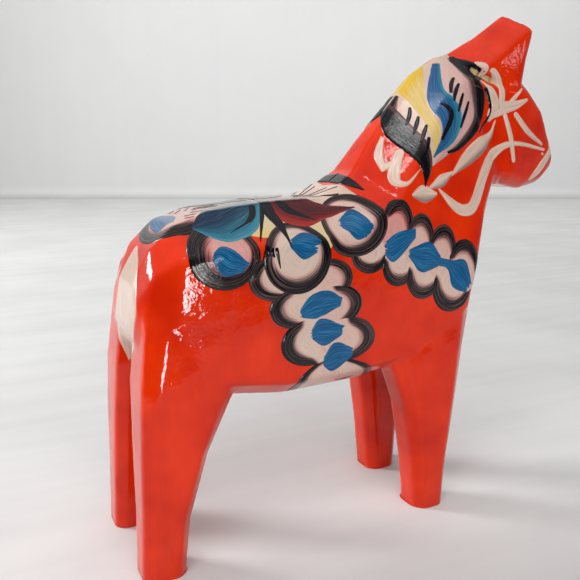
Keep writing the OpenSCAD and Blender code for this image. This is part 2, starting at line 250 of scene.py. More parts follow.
class Brush:
    """Collects the marks of one piece in one mesh."""

    def __init__(self, context, side=RIGHT, seed=1):
        self.sizes = context.scene.horse_sizes
        self.side = side
        self.seed = seed
        self.level = 0
        self.mesh = bmesh.new()
        self.bristle = self.mesh.verts.layers.float_vector.new("bristle")
        self.rim = self.mesh.verts.layers.float_vector.new("rim")
        self.spot = self.mesh.verts.layers.float_vector.new("spot")

    def lift(self):
        return (self.sizes.paint + self.sizes.layer * self.level) * SCALE

    def wobble(self, a, b, size):
        return noise.noise(Vector((a, b, self.seed * 7.3))) * size * MM

    def settle(self, vert, place, normal, edge, bristle, rim, spot):
        """Puts one vertex at its height over the coat: thin at the edge, ridged by the bristles inside."""
        height = -EDGE_SINK + (self.lift() + EDGE_SINK) * ease(edge)
        height += noise.noise(
            Vector((bristle[0] * 1.3, bristle[1] * 0.12, bristle[2]))
        ) * RIDGE * ease(edge)
        vert.co = place + normal * height
        vert[self.bristle], vert[self.rim], vert[self.spot] = bristle, rim, spot

    def close(self, old):
        """Gives the newest sheet its thickness, down into the coat."""
        faces = [face for face in self.mesh.faces if face not in old]
        middle = faces[len(faces) // 2]
        _, outward, _, _ = coat_surface["tree"].find_nearest(middle.calc_center_median())
        middle.normal_update()
        if middle.normal.dot(outward) < 0:
            bmesh.ops.reverse_faces(self.mesh, faces=faces)
        under = bmesh.ops.extrude_face_region(self.mesh, geom=faces, use_keep_orig=True)["geom"]
        for vert in [part for part in under if isinstance(part, bmesh.types.BMVert)]:
            _, outward, _, _ = coat_surface["tree"].find_nearest(vert.co)
            vert.co -= outward * (self.lift() + BED)
        faces = [face for face in self.mesh.faces if face not in old]
        bmesh.ops.recalc_face_normals(self.mesh, faces=faces)
        self.seed += 1

    def sheet(self, a, b, fade, ragged, tone, wavy):
        """A mark between two edge lines a and b, whose rows are places and outward directions."""
        old = set(self.mesh.faces)
        a, b = np.array(a), np.array(b)
        wide = np.linalg.norm(a[:, :3] - b[:, :3], axis=1)
        run = np.concatenate([[0], np.cumsum(np.linalg.norm(np.diff((a + b)[:, :3] / 2, axis=0), axis=1))])
        across = max(4, round(wide.max() / self.sizes.brush_step))
        made = bmesh.ops.create_grid(self.mesh, x_segments=len(a) - 1, y_segments=across, size=0.5)
        index = np.arange(len(a))
        for vert in made["verts"]:
            u, v = vert.co.x + 0.5, vert.co.y + 0.5
            start, end = max(0, 1 - 3 * u), max(0, 3 * u - 2)
            s = u * run[-1]
            s += self.wobble(v * wide.max() / MM * 1.1, 5, ragged[0]) * start
            s += self.wobble(v * wide.max() / MM * 1.1, 9, ragged[1]) * end
            at = np.interp(s, run, index)
            i = min(int(at), len(a) - 2)
            part = at - i
            row_a, row_b = a[i] + (a[i + 1] - a[i]) * part, b[i] + (b[i + 1] - b[i]) * part
            width = max(1e-6, wide[i] + (wide[i + 1] - wide[i]) * part)
            shift = self.wobble(s / MM * 0.4, v * 2, wavy) / width
            row = row_a + (row_b - row_a) * (v + shift)
            beyond = s - min(max(s, 0), run[-1])
            back, front = (-2, -1) if beyond > 0 else (0, 1)
            way = Vector((a[front] + b[front] - a[back] - b[back])[:3])
            normal = Vector(row[3:]).normalized()
            guess = Vector(row[:3]) + way.normalized() * beyond
            place, outward = press(guess, normal)
            inside = min(min(v, 1 - v) * width, min(u, 1 - u) * run[-1])
            edge = inside / min(EDGE_RISE, 0.3 * max(width, 0.0005))
            closeness = 1 - min(1, min(v, 1 - v) * width / (fade * MM))
            self.settle(
                vert,
                place,
                outward,
                edge,
                (v * wide.max() / MM, s / MM, self.seed * 3.7),
                (closeness, tone, u),
                (u, v, width / MM),
            )
        self.close(old)

    def between(self, a, b, fade=1.0, ragged=(0, 0), tone=0.0, wavy=0.15):
        """A mark that fills the space between two drawn edges."""
        a, b = edge_line(a, self.side), edge_line(b, self.side)
        line = smooth_line(a, self.sizes.brush_step)
        other = smooth_line(b, self.sizes.brush_step)
        count = max(len(line), len(other)) - 1
        self.sheet(smooth_line(a, count), smooth_line(b, count), fade, ragged, tone, wavy)

    def stroke(self, points, widths, fade=1.0, ragged=(0, 0), tone=0.0, wavy=0.1):
        """A stroke along points, with its whole width at each in millimetres."""
        rows = [[*row, width * MM * SCALE / 2] for row, width in zip(edge_line(points, self.side), widths)]
        line = smooth_line(rows, self.sizes.brush_step)
        ways = np.gradient(line[:, :3], axis=0)
        a, b = [], []
        length = len(line) - 1
        for i, (row, way) in enumerate(zip(line, ways)):
            normal = Vector(row[3:6]).normalized()
            sideways = normal.cross(Vector(way)).normalized()
            near = min(i, length - i) * self.sizes.brush_step
            half = max(0.00008, row[6])
            if near < half:
                half *= max(0.12, math.sqrt(1 - (1 - near / half) ** 2))
            a.append([*(Vector(row[:3]) + sideways * half), *normal])
            b.append([*(Vector(row[:3]) - sideways * half), *normal])
        self.sheet(a, b, fade, ragged, tone, wavy)

    def round_mark(
        self, centre, radii, tilt=0, rim=0.4, outward=-90, hug=0.3, cut=-2.0, tone=0.0, plane=None
    ):
        """A turned petal: rings round a centre, its rim darkest towards the outward angle."""
        old_faces, old_verts = set(self.mesh.faces), set(self.mesh.verts)
        rings = max(5, round(max(radii) * MM / self.sizes.brush_step))
        steps = 12 * max(4, round(max(radii) * 0.5))
        line = [self.mesh.verts.new((i / rings, 0, 0)) for i in range(rings + 1)]
        spokes = [self.mesh.edges.new(pair) for pair in zip(line, line[1:])]
        bmesh.ops.spin(
            self.mesh, geom=line + spokes, cent=(0, 0, 0), axis=(0, 0, 1), angle=math.tau,
            steps=steps, use_merge=True
        )
        verts = [vert for vert in self.mesh.verts if vert not in old_verts]
        bmesh.ops.remove_doubles(self.mesh, verts=verts, dist=1e-6)
        verts = [vert for vert in self.mesh.verts if vert not in old_verts]
        turn, out = math.radians(tilt), math.radians(outward)
        for vert in verts:
            r, angle = min(1.0, vert.co.length), math.atan2(vert.co.y, vert.co.x)
            swell = 1 + 0.02 * noise.noise(
                Vector((math.cos(angle) * 1.5, math.sin(angle) * 1.5, self.seed * 5.1))
            )
            p = radii[0] * r * swell * math.cos(angle)
            q = radii[1] * r * swell * math.sin(angle)
            p, q = p * math.cos(turn) - q * math.sin(turn), p * math.sin(turn) + q * math.cos(turn)
            if plane:
                origin, right, up = plane
                start = carved(*origin, self.side) + (right * p + up * q) * MM * SCALE
                place, normal = touch(start, right.cross(up).normalized() * plane_sign(right, up))
            else:
                place, normal = on_coat((centre[0] + p, centre[1] + q), self.side)
            facing = 0.5 + 0.5 * math.cos(math.atan2(q, p) - out)
            reach = rim * (hug + (1 - hug) * facing)
            dark = max(0.0, (r - 1 + reach) / reach) * ease((facing - cut) / 0.25)
            inside = (1 - r) * min(radii) * MM
            self.settle(
                vert,
                place,
                normal,
                inside / EDGE_RISE,
                (r * max(radii), math.cos(angle) * 4, math.sin(angle) * 4 + self.seed * 9.1),
                (dark, tone, facing),
                (r, facing, max(radii)),
            )
        self.close(old_faces)

    def piece(self, material, slot, node, name=None):
        """Makes the collected marks an object that rides with the horse."""
        name = name or f"{node}_brushed"
        data = bpy.data.meshes.new(name)
        self.mesh.to_mesh(data)
        self.mesh.free()
        finished_piece(name, data, material, node)


def plane_sign(right, up):
    """Brush planes lie above the back, so their marks are pressed downwards."""
    return -1 if right.cross(up).z > 0 else 1


def finished_piece(name, data, material, node):
    """Links a mesh as a piece that rides on the root and stands in for one node."""
    data.shade_smooth()
    data.materials.append(bpy.data.materials[material])
    piece = bpy.data.objects.new(name, data)
    bpy.context.scene.collection.objects.link(piece)
    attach(piece, "root")
    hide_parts(node)


# ---------------------------------------------------------------- finishes


def add(tree, kind, sockets=(), **settings):
    """A node with its settings and its sockets' values or links."""
    made = tree.nodes.new(kind)
    for key, value in settings.items():
        setattr(made, key, value)
    for key, value in dict(sockets).items():
        if isinstance(value, bpy.types.NodeSocket):
            tree.links.new(value, made.inputs[key])
        else:
            made.inputs[key].default_value = value
    return made


def finish(name, roughness, varnish=1.0, varnish_roughness=0.05):
    """An empty material with its shader's constant values set on its own sockets."""
    material = bpy.data.materials.new(name)
    material.use_nodes = True
    shader = material.node_tree.nodes["Principled BSDF"]
    shader.inputs["Roughness"].default_value = roughness
    shader.inputs["Coat Weight"].default_value = varnish
    shader.inputs["Coat Roughness"].default_value = varnish_roughness
    shader.inputs["Coat IOR"].default_value = 1.36
    shader.inputs["Specular IOR Level"].default_value = 0.04
    return material, material.node_tree, shader


def rgba(value, gain=1.0):
    return (*(min(1.0, c * gain) for c in value), 1.0)


def mix(tree, factor, a, b, blend="MIX"):
    node = add(tree, "ShaderNodeMix", data_type="RGBA", blend_type=blend)
    for socket, value in ((0, factor), (6, a), (7, b)):
        if isinstance(value, bpy.types.NodeSocket):
            tree.links.new(value, node.inputs[socket])
        else:
            node.inputs[socket].default_value = value
    return node.outputs[2]


def math_node(tree, operation, a, b, clamp=False):
    node = add(tree, "ShaderNodeMath", {0: a, 1: b}, operation=operation, use_clamp=clamp)
    return node.outputs[0]


def ramp(tree, factor, stops):
    """A colour or grey by a factor; stops are (place, colour)."""
    node = add(tree, "ShaderNodeValToRGB", {"Fac": factor})
    elements = node.color_ramp.elements
    while len(elements) < len(stops):
        elements.new(0.5)
    for element, (place, value) in zip(elements, stops):
        element.position = place
        element.color = (value, value, value, 1) if isinstance(value, float) else value
    return node.outputs["Color"]


def bristles(tree, fine=3.2, along=0.10, detail=3.0):
    """Streak noise that runs along a mark's own strokes."""
    place = add(tree, "ShaderNodeAttribute", attribute_name="bristle").outputs["Vector"]
    scaled = add(
        tree, "ShaderNodeVectorMath", {0: place, 1: (fine, along, along)}, operation="MULTIPLY"
    ).outputs[0]
    return add(
        tree, "ShaderNodeTexNoise", {"Vector": scaled, "Scale": 1.0, "Detail": detail, "Roughness": 0.6}
    ).outputs["Fac"]


def swing(tree, streaks, gain):
    """Streaks about zero, times a gain."""
    return math_node(tree, "MULTIPLY", math_node(tree, "SUBTRACT", streaks, 0.5), gain)


def mark_values(tree, name):
    """The three values that a brush mark carries under a name."""
    place = add(tree, "ShaderNodeAttribute", attribute_name=name).outputs["Vector"]
    split = add(tree, "ShaderNodeSeparateXYZ", {0: place})
    return split.outputs


def speckle(tree, size):
    """Even fine noise over the whole horse."""
    place = add(tree, "ShaderNodeTexCoord").outputs["Object"]
    return add(tree, "ShaderNodeTexNoise", {"Vector": place, "Scale": size, "Detail": 2.0}).outputs["Fac"]


def paint_bump(tree, shader, streaks, strength=0.35):
    """Bristle ridges and the varnish's slight orange peel."""
    ridges = add(tree, "ShaderNodeBump", {"Height": streaks, "Strength": strength, "Distance": 0.00012})
    peel = add(
        tree,
        "ShaderNodeBump",
        {"Height": speckle(tree, 420.0), "Strength": 0.25, "Distance": 0.0001, "Normal": ridges.outputs[0]},
    )
    tree.links.new(peel.outputs[0], shader.inputs["Normal"])
    varnish = add(
        tree,
        "ShaderNodeBump",
        {"Height": streaks, "Strength": strength * 0.6, "Distance": 0.0001, "Normal": peel.outputs[0]},
    )
    tree.links.new(varnish.outputs[0], shader.inputs["Coat Normal"])


def coat_finish(colours):
    """Dipped paint under gloss: waves of the knife, sags, nibs of dust, and sharp edges painted lighter,
    partly as thinner paint there and partly as a painted edge highlight.
    """
    _, tree, shader = finish("dipped_coat", 0.38, 1.0, 0.035)
    place = add(tree, "ShaderNodeTexCoord").outputs["Object"]
    slow = add(tree, "ShaderNodeTexNoise", {"Vector": place, "Scale": 55.0, "Detail": 2.0}).outputs["Fac"]
    drawn = add(tree, "ShaderNodeMapping", {"Vector": place, "Scale": (1.0, 1.0, 0.12)}).outputs[0]
    brushed = add(
        tree, "ShaderNodeTexNoise", {"Vector": drawn, "Scale": 700.0, "Detail": 3.0}
    ).outputs["Fac"]
    waves = add(tree, "ShaderNodeTexNoise", {"Vector": place, "Scale": 90.0, "Detail": 1.0}).outputs["Fac"]
    fine = add(tree, "ShaderNodeTexNoise", {"Vector": place, "Scale": 620.0, "Detail": 2.0}).outputs["Fac"]
    nibs = add(tree, "ShaderNodeTexVoronoi", {"Vector": place, "Scale": 260.0}).outputs["Distance"]
    deep = rgba(colours.coat, 0.78)
    bright = rgba((colours.coat[0] * 1.08, colours.coat[1] * 1.9, colours.coat[2] * 2.0))
    body = ramp(tree, slow, [(0.3, deep), (0.7, bright)])
    body = mix(tree, ramp(tree, brushed, [(0.35, 0.0), (0.75, 0.22)]), body, rgba(colours.coat, 0.72))
    # sharp edges turn a lighter orange: part wear of the thin paint, part painted highlight along the edges
    wear_and_edge_sheen = add(tree, "ShaderNodeAttribute", attribute_name="sharpness").outputs["Fac"]
    body = mix(tree, ramp(tree, wear_and_edge_sheen, [(0.25, 0.0), (0.9, 0.55)]), body, rgba((0.72, 0.06, 0.02)))
    tree.links.new(body, shader.inputs["Base Color"])
    first = add(tree, "ShaderNodeBump", {"Height": waves, "Strength": 0.4, "Distance": 0.001})
    second = add(
        tree,
        "ShaderNodeBump",
        {"Height": fine, "Strength": 0.6, "Distance": 0.00012, "Normal": first.outputs[0]},
    )
    dots = ramp(tree, nibs, [(0.0, 1.0), (0.1, 0.0)])
    third = add(
        tree,
        "ShaderNodeBump",
        {"Height": dots, "Strength": 0.25, "Distance": 0.0001, "Normal": second.outputs[0]},
    )
    tree.links.new(third.outputs[0], shader.inputs["Normal"])
    tree.links.new(third.outputs[0], shader.inputs["Coat Normal"])


def pine_finish(colours):
    """Pine sawn along the legs, so that the soles show its rings."""
    _, tree, shader = finish("bare_pine", 0.6, 0.0)
    place = add(tree, "ShaderNodeTexCoord").outputs["Object"]
    drawn = add(
        tree,
        "ShaderNodeMapping",
        {"Vector": place, "Location": (0.3, 0.12, 0), "Scale": (1.0, 1.0, 0.05)},
    ).outputs[0]
    rings = add(
        tree,
        "ShaderNodeTexWave",
        {"Vector": drawn, "Scale": 90.0, "Distortion": 3.0, "Detail": 2.0},
        wave_type="RINGS",
        rings_direction="Z",
    ).outputs["Fac"]
    pores = add(
        tree, "ShaderNodeTexNoise", {"Vector": drawn, "Scale": 1400.0, "Detail": 3.0}
    ).outputs["Fac"]
    wood = ramp(
        tree,
        rings,
        [(0.0, rgba(colours.pine)), (0.7, rgba(colours.pine, 0.85)), (1.0, rgba(colours.pine, 0.5))],
    )
    wood = mix(tree, ramp(tree, pores, [(0.4, 0.0), (0.8, 0.4)]), wood, rgba(colours.pine, 0.4))
    tree.links.new(wood, shader.inputs["Base Color"])
    bump = add(tree, "ShaderNodeBump", {"Height": pores, "Strength": 0.3, "Distance": 0.0002})
    tree.links.new(bump.outputs[0], shader.inputs["Normal"])


def petal_finish(colours):
    """A brush loaded with cream on one side and black on the other, turned round a petal."""
    _, tree, shader = finish("petal_brushed", 0.34)
    streaks = bristles(tree, 2.6, 0.12, 5.0)
    dark, tone, _ = mark_values(tree, "rim")
    spread = math_node(tree, "SUBTRACT", streaks, 0.5)
    wet = math_node(
        tree,
        "ADD",
        dark,
        math_node(tree, "MULTIPLY", spread, ramp(tree, dark, [(0.0, 0.12), (0.3, 0.7), (0.7, 0.15)])),
        True,
    )
    pale = mix(tree, tone, rgba(colours.cream), rgba(colours.rose))
    warm = mix(tree, tone, rgba(colours.rose, 0.95), rgba((0.42, 0.05, 0.045)))
    fill = mix(tree, ramp(tree, wet, [(0.03, 0.0), (0.30, 0.8)]), pale, warm)
    grey = mix(tree, tone, rgba((0.10, 0.07, 0.07)), rgba((0.08, 0.006, 0.008)))
    fill = mix(tree, ramp(tree, wet, [(0.14, 0.0), (0.36, 1.0)]), fill, grey)
    fill = mix(tree, ramp(tree, wet, [(0.26, 0.0), (0.48, 1.0)]), fill, rgba(colours.black))
    fill = mix(tree, ramp(tree, streaks, [(0.34, 0.32), (0.52, 0.0)]), fill, rgba((0.30, 0.17, 0.15)))
    tree.links.new(fill, shader.inputs["Base Color"])
    paint_bump(tree, shader, streaks)


def plain_paint(name, base, light, dark, edge, streak=0.55):
    """One pot of paint: streaked light and dark along the stroke, thinner at its edge."""
    _, tree, shader = finish(name, 0.34)
    streaks = bristles(tree)
    close = mark_values(tree, "rim")[0]
    body = ramp(tree, streaks, [(0.5 - streak * 0.26, dark), (0.5, base), (0.5 + streak * 0.26, light)])
    rub = math_node(tree, "ADD", close, swing(tree, streaks, 0.8), True)
    body = mix(tree, ramp(tree, rub, [(0.72, 0.0), (1.0, 0.85)]), body, edge)
    tree.links.new(body, shader.inputs["Base Color"])
    paint_bump(tree, shader, streaks)
    return tree, shader, body, streaks


def leaf_finish(name, stops, streak_colour, streak_amount, toned=False, pale_end=None):
    """A leaf stroke of several paints side by side on the brush, streaked along its curve."""
    _, tree, shader = finish(name, 0.34)
    streaks = bristles(tree, 1.6, 0.05, 4.0)
    u, v, _ = mark_values(tree, "spot")
    if toned:
        v = math_node(tree, "MULTIPLY", v, mark_values(tree, "rim")[1])
    across = math_node(tree, "ADD", v, swing(tree, streaks, 0.7), True)
    body = ramp(tree, across, stops)
    if pale_end:
        body = mix(tree, ramp(tree, u, [(0.68, 0.0), (0.8, 1.0)]), body, pale_end)
    fine = bristles(tree, 4.5, 0.06, 2.0)
    body = mix(tree, ramp(tree, fine, [(0.58, 0.0), (0.72, streak_amount)]), body, streak_colour)
    tree.links.new(body, shader.inputs["Base Color"])
    paint_bump(tree, shader, streaks)


def cream_finish(colours):
    """Cream drawn thinly over red: full in a stroke's middle, pink where thin, grey where dirty."""
    _, tree, shader = finish("cream_brushed", 0.34)
    streaks = bristles(tree, 2.4, 0.09)
    close, tone, _ = mark_values(tree, "rim")
    _, v, _ = mark_values(tree, "spot")
    thin = math_node(tree, "ADD", close, swing(tree, streaks, 0.9), True)
    body = mix(
        tree,
        ramp(tree, streaks, [(0.38, 0.0), (0.62, 1.0)]),
        rgba(colours.cream, 1.12),
        rgba((0.52, 0.36, 0.29)),
    )
    dirty = math_node(tree, "MULTIPLY", ramp(tree, v, [(0.5, 0.0), (0.85, 1.0)]), tone)
    body = mix(tree, dirty, body, rgba((0.09, 0.065, 0.06)))
    body = mix(
        tree, ramp(tree, thin, [(0.45, 0.0), (0.8, 0.75), (1.0, 1.0)]), body, rgba((0.66, 0.12, 0.08))
    )
    tree.links.new(body, shader.inputs["Base Color"])
    paint_bump(tree, shader, streaks)


class HORSE_OT_finishes(bpy.types.Operator):
    """Mix the wood, the coat and every pot of paint"""

    bl_idname = "horse.finishes"
    bl_label = "Finishes"

    def execute(self, context):
        c = context.scene.horse_colours
        coat_finish(c)
        pine_finish(c)
        petal_finish(c)
        cream_finish(c)
        pink_edge = rgba((0.45, 0.16, 0.15))
        plain_paint(
            "blue_brushed",
            rgba(c.blue),
            rgba((0.03, 0.17, 0.33)),
            rgba(c.blue, 0.6),
            rgba((0.06, 0.17, 0.29)),
        )
        plain_paint(
            "black_brushed",
            rgba(c.black),
            rgba((0.014, 0.014, 0.022)),
            rgba((0.002, 0.002, 0.003)),
            rgba((0.02, 0.008, 0.010)),
            0.7,
        )
        tree, shader, body, streaks = plain_paint(
            "yellow_brushed",
            rgba(c.yellow),
            rgba((0.68, 0.54, 0.28)),
            rgba((0.55, 0.36, 0.08)),
            rgba((0.58, 0.42, 0.26)),
        )
        along = math_node(tree, "ADD", mark_values(tree, "rim")[2], swing(tree, streaks, 0.3))
        body = mix(tree, ramp(tree, along, [(0.10, 0.9), (0.24, 0.0)]), body, rgba((0.62, 0.38, 0.015)))
        tree.links.new(body, shader.inputs["Base Color"])
        plain_paint("wine_brushed", rgba(c.wine), rgba((0.45, 0.06, 0.05)), rgba(c.wine, 0.5), pink_edge)
        leaf_finish(
            "teal_leaf_brushed",
            [
                (0.0, rgba((0.002, 0.008, 0.03))),
                (0.45, rgba((0.002, 0.022, 0.06))),
                (0.68, rgba(c.teal, 0.7)),
                (0.85, rgba(c.teal, 1.3)),
                (1.0, rgba((0.06, 0.24, 0.30))),
            ],
            rgba((0.16, 0.26, 0.26)),
            0.6,
        )
        leaf_finish(
            "wine_leaf_brushed",
            [
                (0.0, rgba((0.14, 0.02, 0.025))),
                (0.4, rgba((0.045, 0.003, 0.005))),
                (0.75, rgba(c.wine, 0.8)),
                (1.0, rgba((0.42, 0.02, 0.012))),
            ],
            rgba((0.40, 0.10, 0.09)),
            0.35,
        )
        leaf_finish(
            "ground_brushed",
            [
                (0.0, rgba((0.46, 0.35, 0.22))),
                (0.25, rgba((0.56, 0.43, 0.33))),
                (0.6, rgba((0.60, 0.49, 0.33))),
                (1.0, rgba(c.yellow, 1.05)),
            ],
            rgba(c.cream),
            0.5,
            pale_end=rgba((0.60, 0.44, 0.36)),
        )
        leaf_finish(
            "mane_ground_brushed",
            [
                (0.0, rgba((0.58, 0.42, 0.30))),
                (0.45, rgba((0.58, 0.40, 0.35))),
                (0.85, rgba((0.56, 0.31, 0.29))),
                (1.0, rgba((0.3, 0.14, 0.13))),
            ],
            rgba(c.cream),
            0.5,
        )
        leaf_finish(
            "teal_petal_brushed",
            [
                (0.0, rgba((0.02, 0.12, 0.26))),
                (0.35, rgba((0.006, 0.06, 0.18))),
                (0.7, rgba((0.008, 0.10, 0.2))),
                (1.0, rgba((0.03, 0.24, 0.33))),
            ],
            rgba((0.30, 0.45, 0.55)),
            0.5,
        )
        leaf_finish(
            "rim_brushed",
            [
                (0.0, rgba(c.black)),
                (0.52, rgba(c.black)),
                (0.78, rgba((0.10, 0.05, 0.05))),
                (1.0, rgba((0.52, 0.30, 0.28))),
            ],
            rgba((0.06, 0.05, 0.05)),
            0.6,
            toned=True,
        )
        return {"FINISHED"}


# ---------------------------------------------------------------- carved body


def carved_mesh(voxel, rounds):
    """The carving's own solid as one even mesh with softened knife edges, and how sharp each point was."""
    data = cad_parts["pine_body"].data.copy()
    solid = bmesh.new()
    solid.from_mesh(data)
    bmesh.ops.remove_doubles(solid, verts=solid.verts, dist=1e-6)
    for vert in solid.verts:
        if vert.co.z < 1e-5:
            vert.co.z = -SOLE_DROP
    solid.to_mesh(data)
    solid.free()
    scratch = bpy.data.objects.new("scratch", data)
    bpy.context.scene.collection.objects.link(scratch)
    remesh = scratch.modifiers.new("even", "REMESH")
    remesh.mode, remesh.voxel_size = "VOXEL", voxel
    even = bpy.data.meshes.new_from_object(scratch.evaluated_get(bpy.context.evaluated_depsgraph_get()))
    bpy.data.objects.remove(scratch)
    form = bmesh.new()
    form.from_mesh(even)
    before = [vert.co.copy() for vert in form.verts]
    for _ in range(rounds):
        bmesh.ops.smooth_vert(
            form, verts=form.verts, factor=0.5, use_axis_x=True, use_axis_y=True, use_axis_z=True
        )
    form.normal_update()
    sharpness = form.verts.layers.float.new("sharpness")
    for vert, place in zip(form.verts, before):
        vert[sharpness] = max(0.0, (place - vert.co).dot(vert.normal)) / SHARP
    return form


def cut_soles(form):
    """Cuts the form level with the floor."""
    geometry = form.verts[:] + form.edges[:] + form.faces[:]
    made = bmesh.ops.bisect_plane(
        form, geom=geometry, plane_co=(0, 0, 0), plane_no=(0, 0, 1), clear_inner=True
    )
    return [part for part in made["geom_cut"] if isinstance(part, bmesh.types.BMEdge)]


class HORSE_OT_body(bpy.types.Operator):
    """Carve the pine and dip it in the coat"""

    bl_idname = "horse.body"
    bl_label = "Body and Coat"

    def execute(self, context):
        sizes = context.scene.horse_sizes
        form = carved_mesh(sizes.pine_mesh_size, 3)
        for vert in form.verts:
            vert.co -= vert.normal * PINE_INSET
        rim = cut_soles(form)
        bmesh.ops.holes_fill(form, edges=rim, sides=0)
        bmesh.ops.recalc_face_normals(form, faces=form.faces)
        data = bpy.data.meshes.new("carved_pine")
        form.to_mesh(data)
        form.free()
        finished_piece("carved_pine", data, "bare_pine", "pine_body")

        form = carved_mesh(sizes.mesh_size, sizes.softness)
        for vert in form.verts:
            slow = noise.noise(vert.co * 70) * 0.00012
            vert.co += vert.normal * (sizes.coat * 1.3 + slow)
        rim = cut_soles(form)
        lip = bmesh.ops.extrude_edge_only(form, edges=rim)["geom"]
        form.normal_update()
        for vert in [part for part in lip if isinstance(part, bmesh.types.BMVert)]:
            vert.co = Vector((vert.co.x, vert.co.y, LIP_LIFT)) - Vector(
                (vert.normal.x, vert.normal.y, 0)
            ) * LIP
        bmesh.ops.recalc_face_normals(form, faces=form.faces)
        data = bpy.data.meshes.new("dipped_coat")
        form.to_mesh(data)
        coat_surface["tree"] = BVHTree.FromBMesh(form)
        form.free()
        finished_piece("dipped_coat", data, "dipped_coat", "ground_coat")
        return {"FINISHED"}


# ---------------------------------------------------------------- tail and rump


class HORSE_OT_rump(bpy.types.Operator):
    """Brush the tail and the rump petal"""

    bl_idname = "horse.rump"
    bl_label = "Tail and Rump"

    def execute(self, context):
        tail = Brush(context, RIGHT, 11)
        tail.between(
            [(-55, 0, 112), (-58, 10, 106), (-60, 17, 94), (-61, 15, 84), (-61, 7, 73)],
            [(-55, -3, 112), (-58, -7, 105), (-61, -10, 92), (-61, -10, 82), (-61, -1, 70)],
            fade=1.6,
            ragged=(1.0, 1.5),
        )
        tail.piece("cream_brushed", "cream_paint", "tail_stroke", "tail_brushed")

        rump = Brush(context, LEFT, 12)
        rump.level = 0.5
        down = (Vector((1, 0, 0.28)).normalized(), Vector((0, 1, 0)))
        plane = ((-51.5, 0, 150), *down)
        rump.round_mark(
            (0, 0), (12.5, 18.5), rim=0.5, outward=180, hug=0.5, cut=0.25, tone=0.5, plane=plane
        )
        rump.piece("petal_brushed", "petal_paint", "rump_lobe")

        dab = Brush(context, LEFT, 13)
        dab.level = 1
        dab.between(
            [(-48, 13, 118), (-50, 3, 117), (-50, -6, 116)],
            [(-43, 12, 121), (-41, 1, 122), (-44, -8, 121)],
            ragged=(1.6, 1.6),
        )
        dab.piece("blue_brushed", "blue_paint", "rump_dab")

        return {"FINISHED"}


# ---------------------------------------------------------------- saddle


